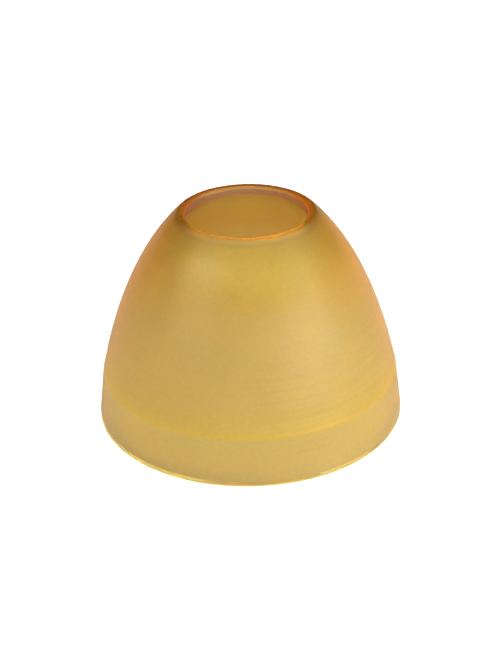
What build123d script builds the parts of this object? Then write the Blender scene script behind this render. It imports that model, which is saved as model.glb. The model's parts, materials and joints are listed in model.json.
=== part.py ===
"""Frosted amber glass lamp shade: one piece of glass with a ground fitter hole on top and an open bottom.

The origin is the centre of the bottom rim, +Z is the axis of the shade and points up to the fitter hole.
All lengths are in millimetres.
"""

from build123d import *

import os
from math import asin, degrees, sqrt

# Outside
height = 75.6             # bottom rim to the ground top face
rim_radius = 54.2         # the band at the bottom rim
band_height = 17.3        # the straight tapered band, from the rim to the crease
crease_radius = 52.0
flare_top = 22.5          # the dome flares out to the crease below this height
dome_centre_z = -28.0     # the dome is an arc of an ellipse about this point on the axis
dome_semi_width = 56.5
dome_semi_height = 114.0

# Inside
rim_wall = 3.7            # radial thickness of the band at the rim
crease_wall = 2.4         # radial thickness at the crease, where the glass is thinnest
dome_wall = 3.2           # radial thickness where the dome's even wall begins
even_wall_z = 24.5        # height at which that is
hole_radius = 20.65       # ground hole for a 1 5/8 inch (41.3 mm) socket
hole_wall_height = 3.2    # top face down to where the hole's wall would meet the inside of the dome

# Edges
shoulder_rounding = 1.4   # outer edge of the top face
rim_rounding = 0.8        # fire-polished edges of the bottom rim
groove_rounding = 10.0    # the inside bends softly past the crease
hole_bevel = 0.9          # ground bevel between the top face and the hole
foot_rounding = 2.0       # the hole's wall runs smoothly into the inside of the dome


def dome_radius(z, semi_width, semi_height):
    """Radius at height z of an ellipse about the dome's centre."""
    return semi_width * sqrt(1 - ((z - dome_centre_z) / semi_height) ** 2)


def dome_arc(semi_width, semi_height, low_z, high_z):
    """Arc of an ellipse about the dome's centre, from height low_z up to height high_z."""
    low_angle = degrees(asin((low_z - dome_centre_z) / semi_height))
    high_angle = degrees(asin((high_z - dome_centre_z) / semi_height))
    return EllipticalCenterArc(
        (0, dome_centre_z),
        semi_width,
        semi_height,
        start_angle=low_angle,
        arc_size=high_angle - low_angle,
    )


# The inside of the dome is a second ellipse about the same centre, through the foot of the hole's wall
# and the point where the even wall begins
hole_foot_z = height - hole_wall_height
even_wall_radius = dome_radius(even_wall_z, dome_semi_width, dome_semi_height) - dome_wall
squash = (even_wall_radius**2 - hole_radius**2) / (
    (hole_foot_z - dome_centre_z) ** 2 - (even_wall_z - dome_centre_z) ** 2
)
inner_semi_width = sqrt(even_wall_radius**2 + squash * (even_wall_z - dome_centre_z) ** 2)
inner_semi_height = inner_semi_width / sqrt(squash)
thinnest = (crease_radius - crease_wall, band_height)

with BuildPart() as glass_shade:
    with BuildSketch(Plane.XZ):
        with BuildLine():
            dome = dome_arc(dome_semi_width, dome_semi_height, flare_top, height)
            flare = TangentArc(dome @ 0, (crease_radius, band_height), tangent=(dome % 0) * -1)
            Polyline(flare @ 1, (rim_radius, 0), (rim_radius - rim_wall, 0), thinnest)
            dome_inside = dome_arc(inner_semi_width, inner_semi_height, even_wall_z, hole_foot_z)
            TangentArc(dome_inside @ 0, thinnest, tangent=(dome_inside % 0) * -1)
            Polyline(dome_inside @ 1, (hole_radius, height), dome @ 1)
        make_face()
    revolve(axis=Axis.Z)

    def circle_at(radius, z):
        """The circular edge of the glass with this radius and height."""
        circles = glass_shade.edges().filter_by(GeomType.CIRCLE)
        return circles.sort_by(lambda edge: abs(edge.radius - radius) + abs(edge.center().Z - z))[0]

    fillet(circle_at(*thinnest), groove_rounding)
    fillet([circle_at(rim_radius, 0), circle_at(rim_radius - rim_wall, 0)], rim_rounding)
    fillet(circle_at((dome @ 1).X, height), shoulder_rounding)
    fillet(circle_at(hole_radius, hole_foot_z), foot_rounding)
    chamfer(circle_at(hole_radius, height), hole_bevel)

glass_shade.part.label = "glass_shade"

os.makedirs("parts", exist_ok=True)
export_step(glass_shade.part, "parts/glass_shade.step")
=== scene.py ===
"""Looks for the frosted amber glass shade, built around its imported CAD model. Lengths are in metres."""

import json
import math

import bmesh
import bpy
from mathutils import Euler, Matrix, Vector, noise


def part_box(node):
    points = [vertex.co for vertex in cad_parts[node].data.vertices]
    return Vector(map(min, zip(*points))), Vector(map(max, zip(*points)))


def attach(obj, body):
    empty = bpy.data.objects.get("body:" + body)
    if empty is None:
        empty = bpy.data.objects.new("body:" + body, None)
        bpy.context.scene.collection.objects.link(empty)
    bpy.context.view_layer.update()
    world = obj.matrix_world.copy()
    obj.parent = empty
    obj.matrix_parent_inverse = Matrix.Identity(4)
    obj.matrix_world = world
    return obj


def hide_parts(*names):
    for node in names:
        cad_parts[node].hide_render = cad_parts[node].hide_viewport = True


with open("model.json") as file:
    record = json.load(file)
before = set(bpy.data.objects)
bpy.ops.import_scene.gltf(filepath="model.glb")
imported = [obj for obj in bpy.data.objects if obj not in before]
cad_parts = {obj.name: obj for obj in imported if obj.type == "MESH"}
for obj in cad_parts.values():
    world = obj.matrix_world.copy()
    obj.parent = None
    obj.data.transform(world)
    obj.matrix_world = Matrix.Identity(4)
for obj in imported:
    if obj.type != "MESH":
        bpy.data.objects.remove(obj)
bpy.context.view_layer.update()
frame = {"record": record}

NODE = "glass_shade"
_, high_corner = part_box(NODE)
fitter_hole = next(m for m in frame["record"]["mounts"] if m["name"] == "fitter_hole")

# Sizes of the shade, as its CAD model has them
HEIGHT = high_corner.z
RIM_RADIUS = 0.0542
BAND_HEIGHT = 0.0173
CREASE_RADIUS = 0.052
FLARE_TOP = 0.0225
DOME_CENTRE_Z = -0.028
DOME_SEMI_WIDTH = 0.0565
DOME_SEMI_HEIGHT = 0.114
RIM_WALL = 0.0037
CREASE_WALL = 0.0024
DOME_WALL = 0.0032
EVEN_WALL_Z = 0.0245
HOLE_RADIUS = fitter_hole["dims"]["r_mm"] / 1000
HOLE_WALL_HEIGHT = 0.0032
SHOULDER_ROUNDING = 0.0014
RIM_ROUNDING = 0.0008
HOLE_BEVEL = 0.0009
FOOT_ROUNDING = 0.002
BEVEL_MIDDLE = Vector((HOLE_RADIUS + HOLE_BEVEL / 2, HEIGHT - HOLE_BEVEL / 2))

# How the glass departs from a perfect body of revolution
SEGMENTS = 360
WAVINESS = 0.0001
ARRIS = 0.0003  # the edges of the bevel are slightly worn
CHIP_REACH = 0.0009  # how far from the middle of the bevel the grinding chips go
CHIP_LENGTH = 0.0018
CHIP_DEPTH = 0.00012

# The glass. Its tint changes with height, partly because a pressed shade is not equally thick all the way
# up, and partly as painted light: a painted glow at the rim, a painted glowing line at the crease and
# painted shade round the hole.
HEIGHT_TINTS_AND_PAINTED_LIGHT = (
    # painted glow along the rounded bottom edge
    (0.0, (0.88, 0.98, 0.74)),
    (0.0014, (0.82, 0.98, 0.46)),
    (BAND_HEIGHT - 0.0006, (0.81, 0.98, 0.42)),
    # painted glowing line just above the crease
    (BAND_HEIGHT + 0.0002, (0.98, 1.0, 0.14)),
    (BAND_HEIGHT + 0.0016, (0.92, 1.0, 0.25)),
    (0.028, (0.88, 0.99, 0.36)),
    (0.045, (0.9, 0.99, 0.36)),
    (0.055, (0.95, 0.98, 0.26)),
    (0.062, (1.0, 0.98, 0.14)),
    (0.0695, (1.0, 0.98, 0.13)),
    (0.0735, (0.92, 0.92, 0.18)),
    # painted shade round the hole, over the deeper colour of the thicker glass there
    (0.0752, (0.56, 0.56, 0.15)),
    (HEIGHT, (0.44, 0.44, 0.11)),
)
CLOUD_TINT = (1, 0.97, 0.9, 1)
GRAIN_TINT = (0.94, 0.935, 0.9, 1)
MARK_TINT = (0.955, 0.95, 0.92, 1)
# Features of the noises are about 1 / scale metres large
CLOUDS = 30
SPECKLES = 900
MOTTLE = 160
MOTTLE_DEPTH = 0.04
MARKED_PATCHES = 22
MARKS_SCALE = (18, 18, 1100)
RELIEF_DEPTH = 0.0001
# Painted light: a yellow glow on the front of the dome, just below the hole
PAINTED_GLOW_TINT = (1, 0.93, 0.2, 1)
PAINTED_GLOW_CENTRE = (0.001, -0.0325, 0.0655)
PAINTED_GLOW_REACH = 0.017
PAINTED_GLOW_CORE = 0.002
# Painted highlight: the front stretch of the lip round the hole is made paler, as if lit
PAINTED_LIP_HIGHLIGHT = (0.95, 0.97, 0.32, 1)
PAINTED_LIP_HIGHLIGHT_FOOT = 0.0736
PAINTED_LIP_HIGHLIGHT_TOP = 0.0752
PAINTED_LIP_HIGHLIGHT_FRONT = (-0.008, -0.018)
# Painted shade: the inside of the glass is given darker colours than the outside
INNER_PAINTED_SHADE_COLOUR = (0.25, 0.153, 0.35, 1)
UPPER_INNER_PAINTED_SHADE_COLOUR = (0.26, 0.22, 0.48, 1)
SPECULAR_TINT = (1, 0.8, 0.35, 1)
ROUGHNESS = 0.76
TOP_ROUGHNESS = 0.5
GROUND_ROUGHNESS = 0.36
CLEARNESS = 0.96
REFRACTION = 1.45
COAT = 0.13
COAT_ROUGHNESS = 0.38
ABSORPTION_DENSITY = 500
ABSORPTION_COLOUR = (0.977, 0.846, 0.2, 1)


# ---------------------------------------------------------------- outline

def dome_radius(z, semi_width, semi_height):
    """Radius at height z of an ellipse about the dome's centre."""
    return semi_width * math.sqrt(1 - ((z - DOME_CENTRE_Z) / semi_height) ** 2)


def dome_slope(z, semi_width, semi_height):
    """Downward unit tangent of that ellipse at height z."""
    rise = z - DOME_CENTRE_Z
    radius = dome_radius(z, semi_width, semi_height)
    return Vector((rise / radius * (semi_width / semi_height) ** 2, -1)).normalized()


def line(start, end, count):
    """Straight stretch in count steps."""
    return [start.lerp(end, k / count) for k in range(count + 1)]


def dome_arc(z_from, z_to, semi_width, semi_height, count):
    """Stretch of an ellipse about the dome's centre, in count steps."""
    heights = [z_from + (z_to - z_from) * k / count for k in range(count + 1)]
    return [Vector((dome_radius(z, semi_width, semi_height), z)) for z in heights]


def tangent_arc(start, direction, end, count):
    """Circular arc from start, where it runs along direction, to end."""
    chord = end - start
    turn = 2 * math.atan2(direction.cross(chord), direction.dot(chord))
    radius = chord.length / (2 * math.sin(turn / 2))
    normal = Vector((-direction.y, direction.x))
    swept = [turn * k / count for k in range(count + 1)]
    return [start + radius * (direction * math.sin(a) + normal * (1 - math.cos(a))) for a in swept]


def rounded(points, roundings, steps=8, hold=1.25):
    """The closed outline with an arc at each corner that has a rounding radius.

    A holding point just beyond each end of an arc keeps its smooth shading off the neighbouring faces.
    """
    result = []
    count = len(points)
    for i, point in enumerate(points):
        if i not in roundings:
            result.append(point)
            continue
        before = (points[i - 1] - point).normalized()
        after = (points[(i + 1) % count] - point).normalized()
        half_angle = before.angle(after) / 2
        length = roundings[i] / math.tan(half_angle)
        centre = point + (before + after).normalized() * (roundings[i] / math.sin(half_angle))
        start, end = point + before * length - centre, point + after * length - centre
        result.append(point + before * length * hold)
        for k in range(steps + 1):
            result.append(centre + slerp(start, end, k / steps))
        result.append(point + after * length * hold)
    return result


def slerp(start, end, fraction):
    """Turns from the vector start to the equally long vector end."""
    turn = start.angle_signed(end)
    angle = -turn * fraction
    c, s = math.cos(angle), math.sin(angle)
    return Vector((start.x * c - start.y * s, start.x * s + start.y * c))


def shade_outline():
    """Closed (radius, height) outline of the glass, up the outside from the rim and down the inside."""
    hole_foot_z = HEIGHT - HOLE_WALL_HEIGHT
    even_wall_radius = dome_radius(EVEN_WALL_Z, DOME_SEMI_WIDTH, DOME_SEMI_HEIGHT) - DOME_WALL
    squash = (even_wall_radius**2 - HOLE_RADIUS**2) / (
        (hole_foot_z - DOME_CENTRE_Z) ** 2 - (EVEN_WALL_Z - DOME_CENTRE_Z) ** 2
    )
    inner_semi_width = math.sqrt(even_wall_radius**2 + squash * (EVEN_WALL_Z - DOME_CENTRE_Z) ** 2)
    outside = (DOME_SEMI_WIDTH, DOME_SEMI_HEIGHT)
    inside = (inner_semi_width, inner_semi_width / math.sqrt(squash))

    rim_outside = Vector((RIM_RADIUS, 0))
    rim_inside = Vector((RIM_RADIUS - RIM_WALL, 0))
    crease = Vector((CREASE_RADIUS, BAND_HEIGHT))
    thinnest = Vector((CREASE_RADIUS - CREASE_WALL, BAND_HEIGHT))
    flare_start = Vector((dome_radius(FLARE_TOP, *outside), FLARE_TOP))
    even_wall_start = Vector((even_wall_radius, EVEN_WALL_Z))
    flare_outside = tangent_arc(flare_start, dome_slope(FLARE_TOP, *outside), crease, 8)
    flare_inside = tangent_arc(even_wall_start, dome_slope(EVEN_WALL_Z, *inside), thinnest, 8)

    points, roundings = [], {}

    def go_on(stretch, rounding=None):
        """Adds a stretch that starts at the last point, and rounds the corner that it ends in."""
        points.extend(stretch[1:] if points else stretch)
        if rounding:
            roundings[len(points) - 1] = rounding

    go_on(line(rim_outside, crease, 16))
    roundings[0] = RIM_ROUNDING
    go_on(flare_outside[::-1])
    go_on(dome_arc(FLARE_TOP, HEIGHT, *outside, 64), SHOULDER_ROUNDING)
    go_on(line(points[-1], Vector((HOLE_RADIUS + HOLE_BEVEL, HEIGHT)), 3), ARRIS)
    go_on(line(points[-1], Vector((HOLE_RADIUS, HEIGHT - HOLE_BEVEL)), 3), ARRIS)
    go_on([points[-1], Vector((HOLE_RADIUS, hole_foot_z))], FOOT_ROUNDING)
    go_on(dome_arc(hole_foot_z, EVEN_WALL_Z, *inside, 44))
    go_on(flare_inside)
    go_on(line(thinnest, rim_inside, 14), RIM_ROUNDING)
    return rounded(points, roundings)


def unevenness(point, turn):
    """Where a point of the outline really lies: hand-finished glass is not perfectly round."""
    c, s = math.cos(turn), math.sin(turn)
    around = Vector((c, s, point.y / CREASE_RADIUS))
    point = point + Vector((WAVINESS * noise.noise(around * 1.7), 0))
    near_bevel = max(0, 1 - (point - BEVEL_MIDDLE).length / CHIP_REACH)
    chip = max(0, noise.noise(Vector((c, s, 0)) * HOLE_RADIUS / CHIP_LENGTH) - 0.1)
    return point + Vector((1, -1)) * CHIP_DEPTH * chip * near_bevel


def make_shade():
    """The wall's outline turned about the axis, as one closed skin of quads."""
    outline = shade_outline()
    count = len(outline)
    bevel = min(range(count), key=lambda i: (outline[i] - BEVEL_MIDDLE).length)
    inner_side = [1.0 if i > bevel + 1 else 0.0 for i in range(count)]
    mesh = bmesh.new()
    rings = []
    for k in range(SEGMENTS):
        turn = 2 * math.pi * k / SEGMENTS
        ring = []
        for point in outline:
            place = unevenness(point, turn)
            ring.append(mesh.verts.new((place.x * math.cos(turn), place.x * math.sin(turn), place.y)))
        rings.append(ring)
    for k in range(SEGMENTS):
        here, beyond = rings[k], rings[(k + 1) % SEGMENTS]
        for i in range(count):
            j = (i + 1) % count
            mesh.faces.new((here[i], beyond[i], beyond[j], here[j]))
    bmesh.ops.recalc_face_normals(mesh, faces=mesh.faces)
    for face in mesh.faces:
        face.smooth = True
    data = bpy.data.meshes.new("shade_of_frosted_glass")
    mesh.to_mesh(data)
    mesh.free()
    attribute = data.attributes.new("inner_side", "FLOAT", "POINT")
    attribute.data.foreach_set("value", inner_side * SEGMENTS)
    shade = bpy.data.objects.new("shade_of_frosted_glass", data)
    bpy.context.scene.collection.objects.link(shade)
    return shade


# ---------------------------------------------------------------- materials

def new_material(name):
    material = bpy.data.materials.new(name)
    material.use_nodes = True
    tree = material.node_tree
    return material, tree, tree.nodes["Principled BSDF"]


def add(tree, kind, inputs=None, **settings):
    """Adds a node and returns it. Its inputs are plain values or other nodes' outputs."""
    new = tree.nodes.new("ShaderNode" + kind)
    for name, value in settings.items():
        setattr(new, name, value)
    for key, value in (inputs or {}).items():
        if isinstance(value, bpy.types.NodeSocket):
            tree.links.new(value, new.inputs[key])
        else:
            new.inputs[key].default_value = value
    return new


def calculate(tree, operation, *values):
    return add(tree, "Math", dict(enumerate(values)), operation=operation).outputs[0]


def fade(tree, value, start, end, low=0.0, high=1.0):
    """Goes smoothly from low, where value is start, to high, where it is end."""
    inputs = {"Value": value, "From Min": start, "From Max": end, "To Min": low, "To Max": high}
    return add(tree, "MapRange", inputs, interpolation_type="SMOOTHSTEP").outputs[0]


def grain(tree, place, scale, detail=2.0, roughness=0.5):
    """Even noise between 0 and 1, with features of about 1 / scale metres."""
    inputs = {"Vector": place, "Scale": scale, "Detail": detail, "Roughness": roughness}
    return add(tree, "TexNoise", inputs).outputs[0]


def tint(tree, base, colour, amount, blend="MULTIPLY"):
    """Multiplies base by colour, or mixes it with colour, as far as amount says."""
    inputs = {"Factor": amount, "A": base, "B": colour}
    sockets = {"A": 6, "B": 7, "Factor": 0}
    new = add(tree, "Mix", data_type="RGBA", blend_type=blend)
    for key, value in inputs.items():
        socket = new.inputs[sockets[key]]
        if isinstance(value, bpy.types.NodeSocket):
            tree.links.new(value, socket)
        else:
            socket.default_value = value
    return new.outputs[2]


def height_tint_and_painted_light(tree, height):
    """The glass's tint, which changes with height, with the painted glow at the rim and the crease and
    the painted shade at the top.
    """
    ramp = add(tree, "ValToRGB", {"Fac": calculate(tree, "DIVIDE", height, HEIGHT)})
    stops = ramp.color_ramp.elements
    while len(stops) < len(HEIGHT_TINTS_AND_PAINTED_LIGHT):
        stops.new(1)
    for stop, (z, colour) in zip(stops, HEIGHT_TINTS_AND_PAINTED_LIGHT):
        stop.position = z / HEIGHT
        stop.color = (*colour, 1)
    return ramp.outputs[0]


def turning_marks(tree, place):
    """Faint marks that run round the shade, in patches."""
    flattened = add(tree, "Mapping", {"Vector": place, "Scale": MARKS_SCALE}).outputs[0]
    patches = fade(tree, grain(tree, place, MARKED_PATCHES), 0.42, 0.6)
    return calculate(tree, "MULTIPLY", grain(tree, flattened, 1), patches)


def glass_colour(tree, place, speckle, marks):
    """Tint of the etched skin: by height outside, with its painted glow and shade, and a darker one
    inside that is painted shade.
    """
    _, depth, height = add(tree, "SeparateXYZ", {"Vector": place}).outputs
    inner_side = add(tree, "Attribute", attribute_name="inner_side").outputs["Fac"]
    colour = height_tint_and_painted_light(tree, height)
    cloud = grain(tree, place, CLOUDS, 3)
    colour = tint(tree, colour, CLOUD_TINT, fade(tree, cloud, 0.35, 0.7))
    colour = tint(tree, colour, GRAIN_TINT, fade(tree, speckle, 0.3, 0.7))
    colour = tint(tree, colour, MARK_TINT, fade(tree, marks, 0.4, 0.6))

    # A painted glow below the hole, where light coming in through the hole falls on the front wall, and a
    # painted highlight that makes the front stretch of the lip paler
    from_painted_glow = add(tree, "VectorMath", {0: place, 1: PAINTED_GLOW_CENTRE}, operation="DISTANCE")
    in_painted_glow = fade(tree, from_painted_glow.outputs["Value"], PAINTED_GLOW_REACH, PAINTED_GLOW_CORE)
    colour = tint(tree, colour, PAINTED_GLOW_TINT, in_painted_glow)
    # painted highlight on the front of the lip
    lit_lip_height = fade(tree, height, PAINTED_LIP_HIGHLIGHT_FOOT, PAINTED_LIP_HIGHLIGHT_TOP)
    lit_lip_front = fade(tree, depth, *PAINTED_LIP_HIGHLIGHT_FRONT)
    painted_lip_highlight_mask = calculate(tree, "MULTIPLY", lit_lip_height, lit_lip_front)
    colour = tint(tree, colour, PAINTED_LIP_HIGHLIGHT, painted_lip_highlight_mask, "MIX")

    # painted shade inside the hollow, in a different colour high up near the hole
    high = fade(tree, height, 0.056, 0.071)
    inside = tint(tree, INNER_PAINTED_SHADE_COLOUR, UPPER_INNER_PAINTED_SHADE_COLOUR, high, "MIX")
    return tint(tree, colour, inside, inner_side, "MIX")


def glass_roughness(tree, place, height):
    """Roughest on the band and the dome, and smoothest on the ground top face."""
    mottle = fade(tree, grain(tree, place, MOTTLE, 4, 0.6), 0.3, 0.7, -MOTTLE_DEPTH, MOTTLE_DEPTH)
    etched = fade(tree, height, 0.056, 0.07, ROUGHNESS, TOP_ROUGHNESS)
    etched = calculate(tree, "ADD", etched, mottle)
    ground = fade(tree, height, HEIGHT - SHOULDER_ROUNDING, HEIGHT - 0.0005)
    return add(tree, "Mix", {"Factor": ground, "A": etched, "B": GROUND_ROUGHNESS}).outputs[0]


def amber_glass():
    """Etched amber glass: a rough skin over glass that takes blue and some green out of the light."""
    material, tree, shader = new_material("frosted_amber_glass")
    place = add(tree, "TexCoord").outputs["Object"]
    height = add(tree, "SeparateXYZ", {"Vector": place}).outputs[2]
    speckle = grain(tree, place, SPECKLES)
    marks = turning_marks(tree, place)

    tree.links.new(glass_colour(tree, place, speckle, marks), shader.inputs["Base Color"])
    tree.links.new(glass_roughness(tree, place, height), shader.inputs["Roughness"])
    tree.links.new(fade(tree, height, 0.068, 0.075, COAT, 0.0), shader.inputs["Coat Weight"])
    shader.inputs["Coat Roughness"].default_value = COAT_ROUGHNESS
    shader.inputs["Transmission Weight"].default_value = CLEARNESS
    shader.inputs["IOR"].default_value = REFRACTION
    shader.inputs["Specular Tint"].default_value = SPECULAR_TINT

    relief = calculate(tree, "ADD", speckle, calculate(tree, "MULTIPLY", marks, 0.8))
    bump = add(tree, "Bump", {"Height": relief, "Strength": 0.25, "Distance": RELIEF_DEPTH})
    tree.links.new(bump.outputs[0], shader.inputs["Normal"])

    inputs = {"Color": ABSORPTION_COLOUR, "Density": ABSORPTION_DENSITY}
    absorbed = add(tree, "VolumeAbsorption", inputs)
    tree.links.new(absorbed.outputs[0], tree.nodes["Material Output"].inputs["Volume"])
    return material


def white_floor():
    material, tree, shader = new_material("white_studio_paper")
    shader.inputs["Base Color"].default_value = (0.9, 0.9, 0.9, 1)
    shader.inputs["Roughness"].default_value = 0.9
    return material


# ---------------------------------------------------------------- studio

FLOOR_DROP = -0.0006  # a hair's gap lets some light in under the rim
FLOOR_RADIUS = 1.15
SOFTBOX_DISTANCE = 1.2


def make_floor():
    """A wide round sheet of white paper under the shade."""
    bpy.ops.mesh.primitive_circle_add(vertices=96, radius=FLOOR_RADIUS, fill_type="NGON")
    floor = bpy.context.object
    floor.name = "studio_floor"
    floor.location.z = FLOOR_DROP
    floor.data.materials.append(white_floor())


def add_softbox(name, azimuth, elevation, width, height, power):
    """A softbox that faces the shade. Azimuth 0 is the camera's side, and 90 is to its right."""
    a, e = math.radians(azimuth), math.radians(elevation)
    away = Vector((math.sin(a) * math.cos(e), -math.cos(a) * math.cos(e), math.sin(e)))
    light = bpy.data.lights.new(name, "AREA")
    light.shape = "RECTANGLE"
    light.size, light.size_y = width, height
    light.energy = power
    holder = bpy.data.objects.new(name, light)
    holder.location = Vector((0, 0, HEIGHT / 2)) + away * SOFTBOX_DISTANCE
    holder.rotation_euler = away.to_track_quat("Z", "Y").to_euler()
    bpy.context.scene.collection.objects.link(holder)


def make_lights():
    add_softbox("key_softbox", 53, 13, 1.1, 0.5, 39.5)
    add_softbox("front_softbox", 0, 40, 0.8, 0.8, 15.6)
    add_softbox("right_softbox", 78, 48, 0.8, 0.8, 7.5)
    add_softbox("left_softbox", 303, 30, 0.8, 0.8, 24)
    add_softbox("top_softbox", 0, 75, 0.8, 0.8, 4)


def make_background():
    """A white wall past the floor, which gives no light of its own."""
    world = bpy.data.worlds.new("studio")
    world.use_nodes = True
    world.node_tree.nodes["Background"].inputs["Color"].default_value = (1, 1, 1, 1)
    world.cycles_visibility.diffuse = False
    world.cycles_visibility.glossy = False
    world.cycles_visibility.transmission = False
    world.cycles_visibility.scatter = False
    bpy.context.scene.world = world


CAMERA_DISTANCE = 0.5223
CAMERA_ELEVATION = math.radians(29.68)
CAMERA_FOOT = Vector((0, 0, 0.0188))
CAMERA_AIM = Vector((0.0003, 0, 0.0283))
CAMERA_ROLL = math.radians(-1.25)
CAMERA_LENS = 79.1


def make_camera():
    camera = bpy.data.objects.new("camera", bpy.data.cameras.new("camera"))
    camera.data.lens = CAMERA_LENS
    camera.data.clip_start = 0.01
    away = Vector((0, -math.cos(CAMERA_ELEVATION), math.sin(CAMERA_ELEVATION)))
    camera.location = CAMERA_FOOT + away * CAMERA_DISTANCE
    look = (CAMERA_AIM - camera.location).to_track_quat("-Z", "Y")
    camera.rotation_euler = (look @ Euler((0, 0, CAMERA_ROLL)).to_quaternion()).to_euler()
    bpy.context.scene.collection.objects.link(camera)
    bpy.context.scene.camera = camera


shade = make_shade()
shade.data.materials.append(amber_glass())
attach(shade, "root")
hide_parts(NODE)

make_floor()
make_lights()
make_background()
make_camera()
bpy.context.scene.view_settings.view_transform = "Standard"
